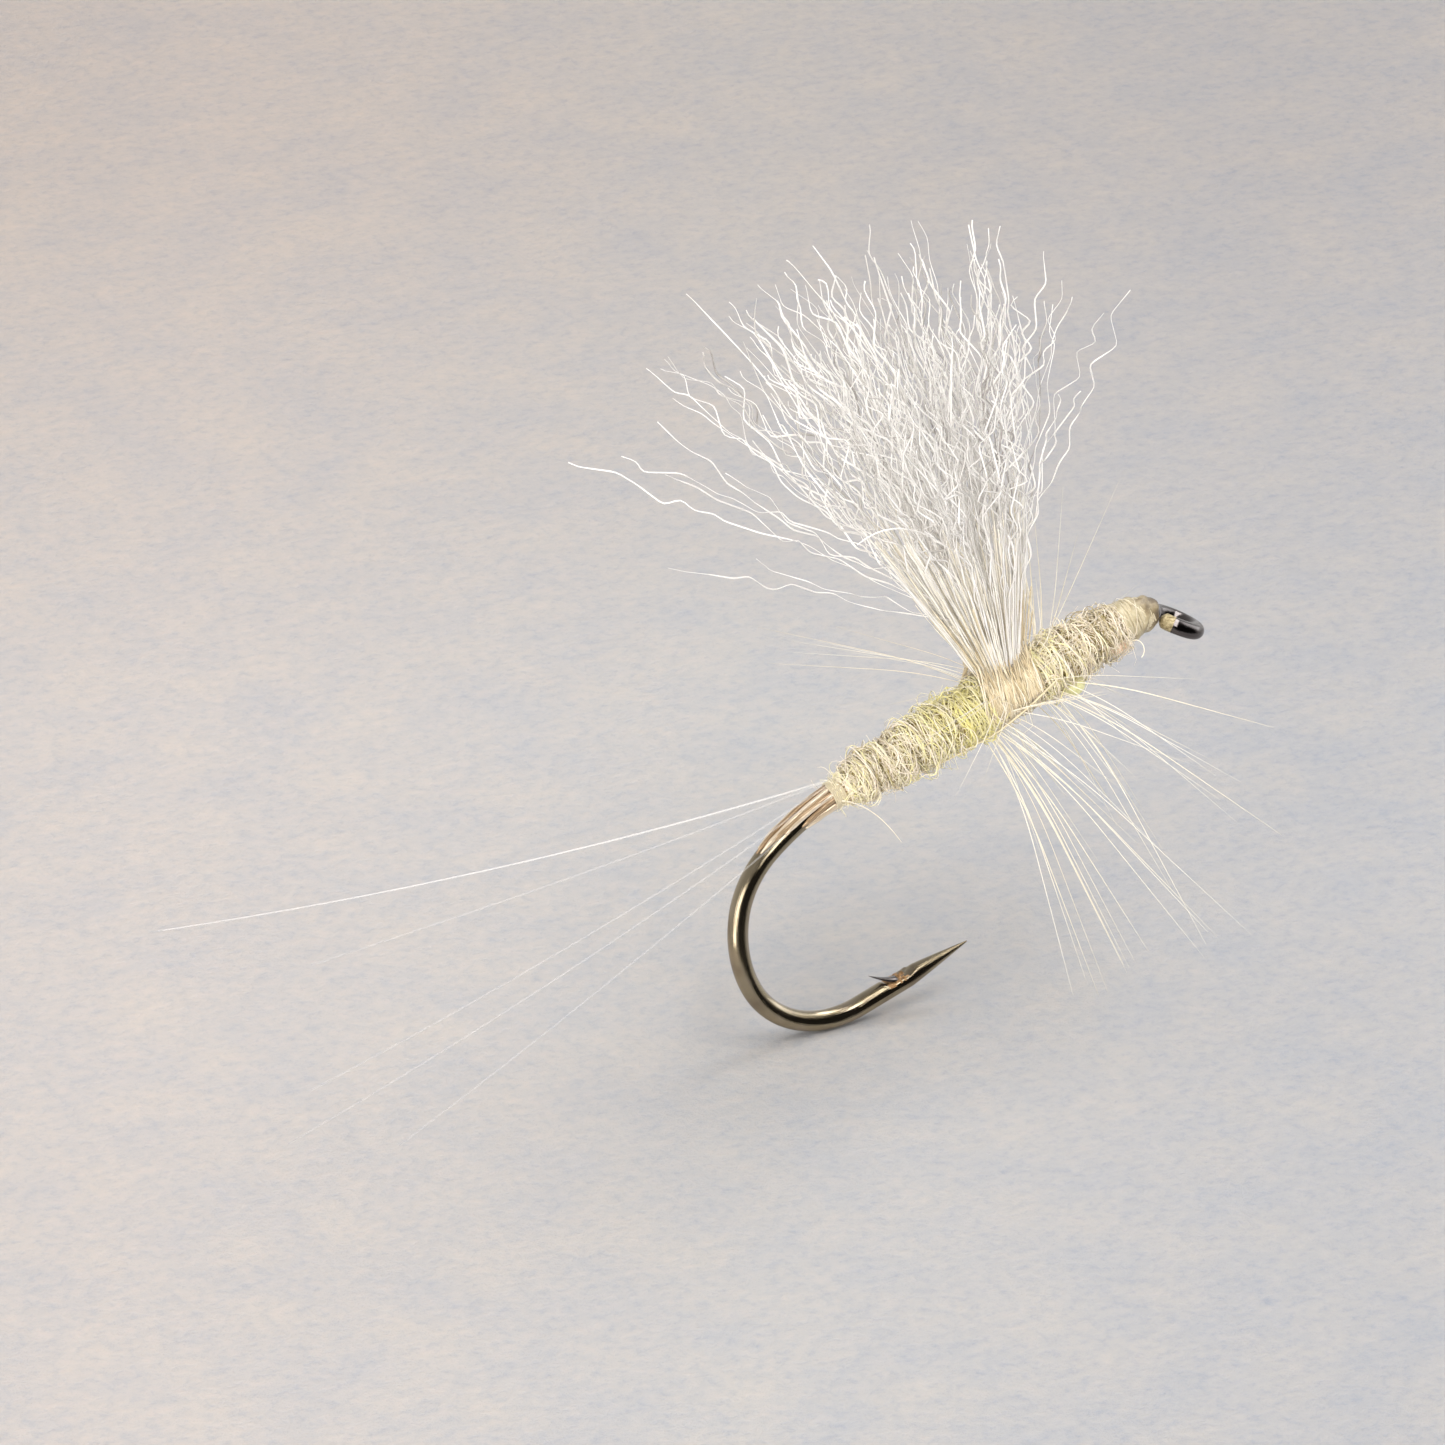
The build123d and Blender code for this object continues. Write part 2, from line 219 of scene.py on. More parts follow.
class Material:
    """A Principled material with short ways to add procedural nodes."""

    def __init__(self, name, **settings):
        self.material = bpy.data.materials.new(name)
        self.material.use_nodes = True
        self.tree = self.material.node_tree
        self.shader = self.tree.nodes["Principled BSDF"]
        for socket, value in settings.items():
            self.shader.inputs[socket.replace("_", " ")].default_value = value

    def node(self, kind, settings=None, **inputs):
        """Adds a node. Inputs go by name, or by number as in0, and sockets are linked."""
        node = self.tree.nodes.new("ShaderNode" + kind)
        for key, value in (settings or {}).items():
            setattr(node, key, value)
        for key, value in inputs.items():
            socket = int(key[2:]) if key.startswith("in") else key.replace("_", " ")
            self.feed(node.inputs[socket], value)
        return node

    def feed(self, socket, value):
        if isinstance(value, bpy.types.NodeSocket):
            self.tree.links.new(value, socket)
        else:
            socket.default_value = value

    def attribute(self, name, output="Fac"):
        return self.node("Attribute", {"attribute_name": name}).outputs[output]

    def place(self, stretch=(1, 1, 1)):
        """Position on the object, in stretched millimetres."""
        where = self.node("TexCoord").outputs["Object"]
        return self.node("Mapping", Vector=where, Scale=tuple(k / MM for k in stretch)).outputs[0]

    def grain(self, stretch=(1, 1, 1)):
        """Position round and along a strand, stretched."""
        return self.node("Mapping", Vector=self.attribute("grain", "Vector"), Scale=stretch).outputs[0]

    def noise(self, where, scale, detail=3.0, roughness=0.5):
        node = self.node("TexNoise", Vector=where, Scale=scale, Detail=detail, Roughness=roughness)
        return node.outputs["Fac"]

    def ramp(self, value, *stops):
        """Colours from a value, each stop a (position, colour)."""
        node = self.node("ValToRGB", Fac=value)
        elements = node.color_ramp.elements
        while len(elements) < len(stops):
            elements.new(0.5)
        for element, (position, colour) in zip(elements, stops):
            element.position = position
            element.color = (*colour, 1)
        return node.outputs["Color"]

    def span(self, value, low, high):
        """A 0 to 1 value stretched onto a range."""
        return self.node("MapRange", Value=value, To_Min=low, To_Max=high).outputs[0]

    def blend(self, share, first, second, mode="MIX"):
        node = self.node("Mix", {"data_type": "RGBA", "blend_type": mode})
        for socket, value in zip((node.inputs[0], node.inputs[6], node.inputs[7]), (share, first, second)):
            self.feed(socket, value if not isinstance(value, tuple) else (*value, 1))
        return node.outputs[2]

    def colour(self, value):
        self.feed(self.shader.inputs["Base Color"], value)

    def roughness(self, value, low, high):
        self.feed(self.shader.inputs["Roughness"], self.span(value, low, high))

    def bump(self, height, distance, strength=1.0, lift=0.0):
        """Bump of a height in millimetres. lift turns the gloss up, as if the surface leant back."""
        node = self.node("Bump", Height=height, Distance=distance * MM, Strength=strength)
        if lift:
            normal = self.node("NewGeometry").outputs["Normal"]
            raised = self.node("VectorMath", {"operation": "ADD"}, in0=normal, in1=(0, 0, lift)).outputs[0]
            leant = self.node("VectorMath", {"operation": "NORMALIZE"}, in0=raised).outputs[0]
            self.feed(node.inputs["Normal"], leant)
        self.feed(self.shader.inputs["Normal"], node.outputs["Normal"])
        self.feed(self.shader.inputs["Coat Normal"], node.outputs["Normal"])


def bronzed_wire():
    m = Material("bronzed_wire", Metallic=1.0, Coat_Weight=1.0, Coat_Roughness=0.05, Coat_IOR=1.6)
    drawn = m.noise(m.grain((3, 3, 0.35)), 4.0, 4)
    patches = m.noise(m.place(), 1.6, 3)
    bronze = (0.3, (0.22, 0.165, 0.10)), (0.52, (0.31, 0.25, 0.15)), (0.75, (0.36, 0.29, 0.20))
    m.colour(m.ramp(patches, *bronze))
    m.roughness(drawn, 0.06, 0.2)
    m.bump(drawn, 0.003, lift=0.3)
    return m.material


def black_nickel():
    m = Material("black_nickel", Metallic=1.0, Coat_Weight=1.0, Coat_Roughness=0.03, Coat_IOR=1.7)
    drawn = m.noise(m.grain((3, 3, 0.5)), 5.0, 3)
    m.colour(m.ramp(drawn, (0.3, (0.02, 0.012, 0.01)), (0.7, (0.08, 0.06, 0.055))))
    m.roughness(drawn, 0.05, 0.14)
    m.bump(drawn, 0.002, lift=0.3)
    return m.material


def cut_steel(name, dull, bright):
    """Metal bared by the cut of the barb or of the eye's end."""
    m = Material(name, Metallic=1.0)
    marks = m.noise(m.place((1, 1, 2)), 14.0, 5, 0.7)
    m.colour(m.ramp(marks, (0.35, dull), (0.65, bright)))
    m.roughness(marks, 0.22, 0.5)
    m.bump(marks, 0.03)
    return m.material


def fibre(name, stops, rough, streak=(6, 0.35), root_tone=0.0, **settings):
    """Fine fibres: each has its own tone, streaks (pitch, strength) along it and a satin gloss.

    A root lift raises the tone near the root, and fades out by half way: painted light in the dense bundle
    near the root.
    """
    m = Material(name, **settings)
    streaks = m.noise(m.grain((1.5, 1.5, streak[0])), 3.0, 3)
    tone = m.node("Math", {"operation": "MULTIPLY_ADD"}, in0=streaks, in1=streak[1], in2=m.attribute("tone"))
    lift = {"From_Min": 0.1, "From_Max": 0.5, "To_Min": root_tone, "To_Max": 0.0}
    root = m.node("MapRange", Value=m.attribute("share"), **lift)
    shift = m.node("Math", {"operation": "SUBTRACT"}, in0=root.outputs[0], in1=streak[1] / 2).outputs[0]
    value = m.node("Math", in0=tone.outputs[0], in1=shift).outputs[0]
    m.colour(m.ramp(value, *stops))
    m.roughness(streaks, *rough)
    m.bump(streaks, 0.003, 0.6)
    return m


# ------------------------ hook


def hook_path():
    """The wire's centre line in space, from the eye's cut end to the point."""
    front = walk((TAPER[0], 0), 0, [(NECK_START - TAPER[0], 0), arc(EYE_NECK_R, -EYE_DROP)])
    flare = degrees(acos(EYE_FLARE_R / (EYE_FLARE_R + EYE_RING_R)))
    round_ring = arc(EYE_RING_R, -(90 + flare + 360 - EYE_CLOSURE))
    ring = walk((0, 0), 0, [arc(EYE_FLARE_R, flare), round_ring], EYE_STEP)
    drop = radians(EYE_DROP)
    ahead = ALONG * cos(drop) - UP * sin(drop)
    neck_end = at(*front[-1])
    ring_points = neck_end + ring[:, :1] * ahead + ring[:, 1:] * SIDE
    back = walk(bend_path[-1], 0, [(SPEAR_END - bend_path[-1][0], 0), (POINT_LENGTH, 0)])
    return ring_points, at(*front.T), at(*bend_path.T), at(*back.T)


ring_points, neck_points, bend_points, spear_points = hook_path()
WIRE_SIDES = 36
CUT_END_RINGS = 8  # of bared metal at the eye's cut end


def make_hook():
    path = np.concatenate((ring_points[::-1], neck_points[-2::-1], bend_points[1:], spear_points[1:]))
    place = path - REAR
    along = place @ ALONG
    is_spear = np.arange(len(path)) >= len(path) - len(spear_points) + 1
    thinning = smooth_step(*TAPER, along) * ~is_spear
    radius = WIRE_R + (EYE_WIRE_R - WIRE_R) * thinning
    to_point = np.clip((along - SPEAR_END) / POINT_LENGTH, 0, 1) * is_spear
    radius = radius + (POINT_R - WIRE_R) * to_point**1.12
    # the eye's end is cut at a slant and its edge is rounded off
    cut = np.arange(len(path)) * EYE_STEP
    radius = radius * np.sqrt(np.clip(0.35 + cut / 0.1, 0, 1))
    piece = Piece()
    part = piece.tubes(path[None], radius[None, :, None], sides=WIRE_SIDES)
    verts = part["verts"].reshape(len(path), WIRE_SIDES, 3)
    # the hammered patch on top of the spear, where the barb was cut and raised
    local = verts - REAR
    height = local @ UP - SPEAR_UP
    station = local @ ALONG
    patch = smooth_step(-0.34, -0.2, station) * (1 - smooth_step(0.15, 0.45, station)) * is_spear[:, None]
    dents = 0.018 * np.sin(station * 31 + 1) * np.sin(local[..., 1] * 36 + station * 12)
    dents += 0.012 * np.sin(station * 57)
    floor = 0.11 + dents
    lowered = np.where(height > floor, floor + 0.15 * (height - floor), height)
    verts += (patch * (lowered - height))[..., None] * UP
    faces = part["finish"][: (len(path) - 1) * WIRE_SIDES].reshape(len(path) - 1, WIRE_SIDES)
    faces[: len(ring_points) + 3] = 1
    faces[:CUT_END_RINGS] = 2
    ragged = 0.1 + 0.05 * np.sin(local[..., 1] * 40) + 0.03 * np.sin(local[..., 1] * 97)
    bare = (patch > 0.4) & (height > floor - 0.01) & (station < ragged)
    faces[bare[:-1]] = 3
    # the barb: a sliver raised from that patch, which points back and up into the gap
    lift = np.linspace(0, 1, 12)
    barb_along = -0.02 - 0.49 * lift
    barb_up = SPEAR_UP + 0.1 + 0.37 * lift**1.35
    width = 0.1 * (1 - lift**1.4) + 0.004
    # The barb is bronzed like the wire. It takes the eye's black nickel, finish 1, as a painted dark
    # reflection on its top.
    piece.tubes(at(barb_along, barb_up)[None], width[None, :, None], sides=12, flat=0.45, finish=1)
    return piece.make(
        "hook_wire",
        [
            bronzed_wire(),
            black_nickel(),
            cut_steel("cut_bronze", (0.25, 0.18, 0.07), (0.80, 0.68, 0.42)),
            cut_steel("bared_copper", (0.20, 0.10, 0.04), (0.80, 0.50, 0.26)),
        ],
        "bronzed_wire",
        "hook",
    )


# ------------------------ tail

TAIL_SPLAY = (32.2, 19.8, 0.5, -3.9, -12.6)
TAIL_LENGTH = (12.6, 9.9, 11.2, 12.3, 11.2)
TAIL_BOW = (0.28, 0.1, 0.16, 0.2, 0.12)
TAIL_SPREAD = 0.08
TAIL_LAY_R = 0.245


def tail_fibre_material():
    m = fibre(
        "tail_fibre",
        ((0.0, (0.80, 0.79, 0.76)), (1.0, (0.95, 0.95, 0.94))),
        (0.12, 0.3),
        Specular_IOR_Level=0.6,
    )
    m.feed(m.shader.inputs["Alpha"], m.attribute("tone"))
    return m.material


def make_tail():
    material = tail_fibre_material()
    share = np.linspace(0, 1, 40)
    for number, (splay, length, bow) in enumerate(zip(TAIL_SPLAY, TAIL_LENGTH, TAIL_BOW), 1):
        side = TAIL_SPREAD * (3 - number)
        root = at(0.15, sqrt(TAIL_LAY_R**2 - side**2), side)
        heading = SIDE * sin(radians(splay)) - ALONG * cos(radians(splay))
        path = root + (share * length)[:, None] * heading - (bow * 4 * share * (1 - share))[:, None] * UP
        radius = 0.022 - 0.014 * share**0.8
        piece = Piece()
        opacity = 0.3 if number == 1 else 0.09
        piece.tubes(path[None], radius[None, :, None], sides=8, tone=opacity)
        piece.make(f"tail_hair_{number}", [material], "tail_fibre", f"tail_fibre_{number}")


def make_sleeve():
    """Varnished butts of fibre that lie on the outside of the wire behind the body."""
    piece = Piece()
    reach = walk((0.3, 0), 180, [(0.3 - BEND_START, 0), arc(4.7, 27)])
    butts = (
        (-150, 0.8), (-122, 1.2), (-98, 1.5), (-76, 1.75), (-54, 1.95), (-30, 2.1), (-8, 2.2),
        (14, 2.15), (36, 1.95), (58, 1.6), (80, 1.3), (102, 1.15), (126, 1.25), (150, 0.85),
    )
    for number, (clock, end) in enumerate(butts):
        count = int(end / 0.045)
        points = at(*reach[:count].T)
        line = unit(np.gradient(points, axis=0))
        outward = np.cross(SIDE, line)
        share = np.linspace(0, 1, count)
        drift = radians(clock) + 0.16 * np.sin(share * 3 + number * 1.7)
        lie = np.cos(drift)[:, None] * outward - np.sin(drift)[:, None] * SIDE
        height = WIRE_R + 0.03 * (1 - share) ** 0.5 + 0.004 * np.sin(share * 29 + number * 2)
        radius = 0.052 * np.clip((1 - share) * 7, 0.2, 1) ** 0.5
        path = points + lie * height[:, None] * 0.93
        piece.tubes(path[None], radius[None, :, None], sides=10, tone=uniform(0.1, 0.9, 1))
    m = fibre(
        "varnished_butts",
        ((0.0, (0.26, 0.15, 0.07)), (0.45, (0.60, 0.44, 0.27)), (1.0, (0.92, 0.80, 0.62))),
        (0.12, 0.3),
        Metallic=0.6,
        Coat_Weight=1.0,
        Coat_Roughness=0.06,
    )
    piece.make("tail_sleeve", [m.material], "clear_cement", "tail_cement", "tail_butts")


# ------------------------ body


def body_radius(along):
    """The dubbing's radius to the valleys between its turns."""
    stations = (-0.12, 0.0, 0.25, 0.6, 1.1, 1.7, 2.5, 3.1, 3.4, 3.9, 4.3, 4.8, 5.2, 5.8, 6.2, 6.4)
    radii = (0.19, 0.2, 0.215, 0.26, 0.31, 0.34, 0.36, 0.35, 0.33, 0.33, 0.33, 0.35, 0.35, 0.32, 0.28, 0.25)
    return np.interp(along, stations, radii)


def ridge(along, clock, pitch=0.24):
    """How far the wound turns stand proud, 0 to 1."""
    uneven = 0.3 * np.sin(along * 5.3) + 0.16 * np.sin(along * 13 + 2)
    depth = 0.6 + 0.4 * np.sin(along * 7.7 + clock)
    return 1 - depth * (1 - np.abs(np.cos(pi * (along / pitch + uneven - clock / (2 * pi)))) ** 0.6)


RIDGE_HEIGHT = 0.14
VALLEY_PAINTED_SHADE = 0.6  # painted shade: how much darker the fibres are between the turns
FIBRES_PER_MM = (130, 160, 600, 50)  # laid close, laid loosely, short fuzz, long fuzz
BODY_SPAN = (-0.06, 6.25)


def body_skin(along, clock):
    lumps = 0.022 * np.sin(along * 4.1 + 2 * np.sin(clock)) + 0.016 * np.sin(along * 9.7 + clock)
    relief = lumps + RIDGE_HEIGHT * (ridge(along, clock) - 0.4)
    return body_radius(along) + relief * np.clip((along - BODY_SPAN[0]) / 0.7 + 0.1, 0.1, 1)


def make_core(piece, start, stop):
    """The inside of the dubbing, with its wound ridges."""
    along = np.linspace(start, stop, int((stop - start) / 0.03))
    sides = 40
    clock = pi / 2 + 2 * pi * np.arange(sides) / sides
    skin = body_skin(along[:, None], clock[None]) + 0.012 * np.sin(along[:, None] * 41 + 3 * clock)
    ends = np.sqrt(np.clip(np.minimum(along - BODY_SPAN[0], BODY_SPAN[1] - along) / 0.14 + 0.7, 0, 1))
    line = at(along, np.zeros_like(along))
    piece.tubes(line[None], ((skin - 0.015) * ends[:, None])[None], sides=sides, tone=0.15)


def wrap_fibres(piece, count, start, stop, slant, turning, length, radius, rise=0.045):
    """Fibres laid round the body. Each wanders on its skin, and some lift off as loose loops."""
    points = 15
    share = np.linspace(0, 1, points)
    reach = uniform(*length, count, 1)
    heading = rng.normal(0, slant, (count, 1)) + rng.normal(0, turning, (count, 1)) * (share - 0.5) * reach
    step = reach / (points - 1)
    along = uniform(start, stop, count, 1) + np.cumsum(np.sin(heading) * step, axis=1)
    along = stop - np.abs(stop - start - np.abs(along - start))
    travelled = np.cumsum(np.cos(heading) * step, axis=1)
    clock = uniform(0, 2 * pi, count, 1) + travelled / body_radius(along[:, :1])
    ends = np.abs(2 * share - 1) ** 6 * np.abs(rng.normal(0, 0.05, (count, 1)))
    loop = (uniform(0, 1, count, 1) < 0.45) * uniform(0.03, 0.17, count, 1) * np.sin(pi * share) ** 2
    at_rear = np.clip((along - BODY_SPAN[0]) / 0.6, 0.1, 1)
    out = body_skin(along, clock) + (uniform(0.0, rise, count, 1) + ends + loop) * at_rear
    paths = at(along, out * np.cos(clock), -out * np.sin(clock))
    thickness = uniform(*radius, count, 1) * (1 - 0.6 * np.abs(2 * share - 1) ** 4)
    # fibres that lie in the valleys between the turns are darkened: painted shade
    valley_shade = VALLEY_PAINTED_SHADE * smooth_step(0.25, 0.75, 1 - ridge(along, clock))
    tone = body_tones(along[:, 6], count)[:, None] - valley_shade
    piece.tubes(paths, thickness[..., None], sides=3, tone=tone, finish=1)


def fuzz(piece, count, start, stop, length):
    """Short loose hairs that stand out of the body."""
    share = np.linspace(0, 1, 6)
    along = uniform(start, stop, count, 1)
    clock = uniform(0, 2 * pi, count, 1)
    reach = np.clip(rng.exponential(length, (count, 1)), 0.05, 4 * length)
    stand = uniform(0.35, 1.0, count, 1)
    slew = rng.normal(0, 0.55, (count, 1))
    trail = rng.normal(0, 0.35, (count, 1))
    curl = rng.normal(0, 0.5, (count, 1))
    travel = share * reach
    root = body_skin(along, clock)
    out = root + travel * stand - 0.35 * travel * share * stand
    turned = clock + (travel * slew + curl * travel * share) / root
    station = along + travel * trail + 0.3 * curl * travel * share
    paths = at(station, out * np.cos(turned), -out * np.sin(turned))
    thickness = 0.0075 * (1 - 0.6 * share)
    pale = 0.18 + 0.6 * body_tones(along[:, 0], count)
    piece.tubes(paths, thickness[None, :, None], sides=3, tone=pale, finish=1)


def body_tones(along, count):
    """Paler and pinker at the rear, yellower towards the wing."""
    stations = (0, 0.25, 0.6, 1.4, 2.2, 3.0, 3.6, 4.4, 5.0, 5.6, 6.2)
    # Near the head the tones drop low enough that many fibres take the darkest stop: painted shade in the
    # gaps there.
    yellow = np.interp(along, stations, (0.45, 0.42, 0.3, 0.32, 0.62, 0.86, 0.35, 0.48, 0.32, 0.14, 0.1))
    return np.clip(yellow + rng.normal(0, 0.2, count), 0.05, 1)


def lump(piece, along, up, side, size, tone, finish=2):
    """A smooth nub of tightly spun dubbing, size (along, across)."""
    share = np.linspace(-1, 1, 16)
    path = at(along + share * size[0], up + 0 * share, side + 0 * share)
    radius = size[1] * np.sqrt(np.clip(1 - share**2, 0.02, 1))
    piece.tubes(path[None], radius[None, :, None], sides=20, tone=tone, finish=finish)


def loop_hair(piece, place, size, radius):
    """A stray hair of the dubbing that stands out as an open loop, on the near side."""
    turn = np.linspace(-0.5, 1.5 * pi, 24)
    along = place[0] + size * (1 - np.cos(turn)) * 0.8
    up = place[1] - size * (1 - np.sin(turn))
    piece.tubes(at(along, up, place[2] - 0.04 * turn)[None], radius, sides=6, tone=0.3, finish=1)


# The first, dark stop is painted shade. Fibres darkened between the turns and near the head reach it.
DUBBING_STOPS = (
    (0.0, (0.42, 0.34, 0.15)),
    (0.16, (0.93, 0.81, 0.67)),
    (0.35, (0.97, 0.89, 0.72)),
    (0.62, (0.93, 0.86, 0.50)),
    (1.0, (0.89, 0.81, 0.28)),
)


def dubbing_materials():
    # The core is coloured far darker than the fibres over it: painted shade in the depths between them.
    core = fibre(
        "dubbing_core",
        ((0.0, (0.26, 0.20, 0.07)), (0.4, (0.46, 0.38, 0.16)), (1.0, (0.74, 0.66, 0.38))),
        (0.7, 0.9),
    )
    strands = fibre("dubbing_fibre", DUBBING_STOPS, (0.45, 0.7), Sheen_Weight=0.3, Sheen_Roughness=0.4)
    nub = Material("dubbing_nub", Sheen_Weight=0.4, Sheen_Roughness=0.4)
    weave = nub.noise(nub.place(), 9.0, 5, 0.6)
    greens = (0.3, (0.62, 0.60, 0.28)), (0.6, (0.80, 0.78, 0.45)), (0.8, (0.88, 0.85, 0.60))
    nub.colour(nub.ramp(weave, *greens))
    nub.roughness(weave, 0.5, 0.75)
    nub.bump(weave, 0.03)
    blush = Material("dubbing_blush", Sheen_Weight=0.4, Sheen_Roughness=0.4)
    tuft = blush.noise(blush.place(), 12.0, 4, 0.6)
    blush.colour(blush.ramp(tuft, (0.3, (0.85, 0.50, 0.32)), (0.7, (0.95, 0.78, 0.62))))
    blush.roughness(tuft, 0.5, 0.75)
    blush.bump(tuft, 0.03)
    return [core.material, strands.material, nub.material, blush.material]


def make_body():
    materials = dubbing_materials()
    sections = (
        ("abdomen_fur", BODY_SPAN[0], 3.2, ("abdomen_dubbing",)),
        ("thorax_fur_rear", 3.1, 3.95, ("thorax_dubbing_rear",)),
        ("thorax_fur_middle", 3.9, 4.8, ("thorax_dubbing_middle",)),
        ("thorax_fur_front", 4.75, BODY_SPAN[1], ("thorax_dubbing_front",)),
    )
    for name, start, stop, nodes in sections:
        length = stop - start
        piece = Piece()
        make_core(piece, start, stop)
        close, loose, short, long = (int(count * length) for count in FIBRES_PER_MM)
        wrap_fibres(piece, close, start, stop, 0.25, 1.2, (0.4, 1.3), (0.007, 0.012), rise=0.02)
        wrap_fibres(piece, loose, start, stop, 0.7, 4.5, (0.4, 1.2), (0.007, 0.012), rise=0.12)
        fuzz(piece, short, start, stop, 0.13)
        fuzz(piece, long, start, stop, 0.28)
        if name == "abdomen_fur":
            share = np.linspace(0, 1, 20)
            # one long hair hangs from the rear on the near side
            along = 0.8 * share + 0.1 * np.sin(pi * share)
            hair = at(along, -0.02 - 1.4 * share**1.25, -0.27 - 0.06 * share)
            piece.tubes(hair[None], (0.013 - 0.008 * share)[None, :, None], sides=5, tone=0.3, finish=1)
        if name == "thorax_fur_front":
            lump(piece, 4.92, -0.42, -0.30, (0.22, 0.2), 0.8)
            lump(piece, 5.15, -0.40, 0.1, (0.24, 0.17), 0.8)
            lump(piece, 5.95, -0.2, -0.34, (0.2, 0.1), 0.3, finish=3)
            loop_hair(piece, (6.1, -0.16, -0.38), 0.16, 0.008)
        if name == "thorax_fur_middle":
            lump(piece, 4.3, 0.34, -0.06, (0.2, 0.22), 0.5)
        piece.make(name, materials, "body_dubbing", *nodes)


# ------------------------ wing

WAIST = (3.8, 0.6)  # the station and height that the fan opens from
WAIST_R = (0.5, 0.3)  # half the bundle along the shank and across it
FAN = (17, 20.5)  # half the fan's angle along the shank and across it
FAN_LEAN = -2
WING_FILAMENTS = 280
WING_REACH = (6.6, 9.0)
KINKS = 40


def wing_ray(lean_along, lean_side):
    """Directions that lean by these angles in degrees from square to the shank."""
    ahead, aside = (np.tan(np.radians(np.asarray(v, float)))[..., None] for v in (lean_along, lean_side))
    return unit(UP + ahead * ALONG + aside * SIDE)


def kinked_slopes(count, travel, run, kink, loose):
    """Sideways slopes of crinkled yarn: straight runs that each turn back on the last."""
    runs = np.cumsum(uniform(*run, count, KINKS), axis=1)
    slopes = rng.normal(0, kink, (count, KINKS, 2))
    for step in range(1, KINKS):
        slopes[:, step] -= 0.75 * slopes[:, step - 1]
    index = np.stack([np.searchsorted(runs[row], travel[row]) for row in range(count)])
    picked = np.take_along_axis(slopes, np.clip(index, 0, KINKS - 1)[..., None], axis=1)
    rounded = picked.copy()
    rounded[:, 1:-1] = (picked[:, :-2] + 2 * picked[:, 1:-1] + picked[:, 2:]) / 4
    return rounded * loose[..., None]


def filament_paths(roots, rays, reach, points, kink=0.26, start=0.3):
    """Yarn filaments: straight near the root, then kinked and wandering."""
    count = len(roots)
    share = np.linspace(0, 1, points)[None]
    travel = share * reach[:, None]
    loose = smooth_step(start * 0.6, start * 1.7, share)
    slopes = kinked_slopes(count, travel, (0.22, 0.75), kink, loose * np.ones((count, 1)))
    wander = rng.normal(0, 0.1, (count, 1, 2)) * (share**1.5)[..., None]
    sway = rng.normal(0, 0.12, (count, 1, 2))
    sway = sway * np.sin(2 * pi * (share * uniform(0.4, 1.1, count, 1)))[..., None]
    slopes = slopes + wander + sway * share[..., None]
    across = unit(np.cross(rays, rng.normal(size=(count, 3))))[:, None]
    over = np.cross(rays[:, None], across)
    headings = unit(rays[:, None] + slopes[..., :1] * across + slopes[..., 1:] * over)
    steps = headings[:, :-1] * (reach / (points - 1))[:, None, None]
    return roots[:, None] + np.concatenate((np.zeros((count, 1, 3)), np.cumsum(steps, axis=1)), axis=1)


def ribbons(piece, paths, half_width, tone, finish=0):
    """Flat filaments that turn slowly, so that they glint in places."""
    count, points = paths.shape[:2]
    share = np.linspace(0, 1, points)
    spin = uniform(0, pi, count, 1) + share * rng.normal(0, 5, (count, 1))
    spin = spin + 0.5 * np.sin(share * uniform(10, 30, count, 1))
    widths = half_width * (1 - 0.35 * smooth_step(0.9, 1, share))
    piece.tubes(paths, widths[..., None], sides=4, flat=0.4, spin=spin, tone=tone, finish=finish)


def yarn_material(name, *stops, **settings):
    """Bright yarn. Its faint emission stands for the light that real yarn lets through."""
    settings = {"Specular_IOR_Level": 1.0, "Emission_Color": (1, 0.97, 0.93, 1), **settings}
    return fibre(name, stops, (0.14, 0.4), streak=(1.2, 0.8), **settings).material


# Single filaments outside the fan: (lean towards the eye, lean to the side, length)
STRAYS = (
    (-40, 16, 9.3), (-29, 12, 9.6), (-25, 16, 9.3), (-35, 14, 8.5), (-50, 12, 7.0), (-37, 4, 8.6),
    (-31, 20, 8.8), (-33, -4, 8.4), (-27, 22, 8.8), (31, -16, 8.7), (22, -20, 8.6), (22, -8, 8.6),
    (17, -14, 8.9), (26, -10, 7.6), (14, -26, 8.2), (-44, -10, 6.6), (27, 24, 7.4), (-24, 33, 8.0),
)


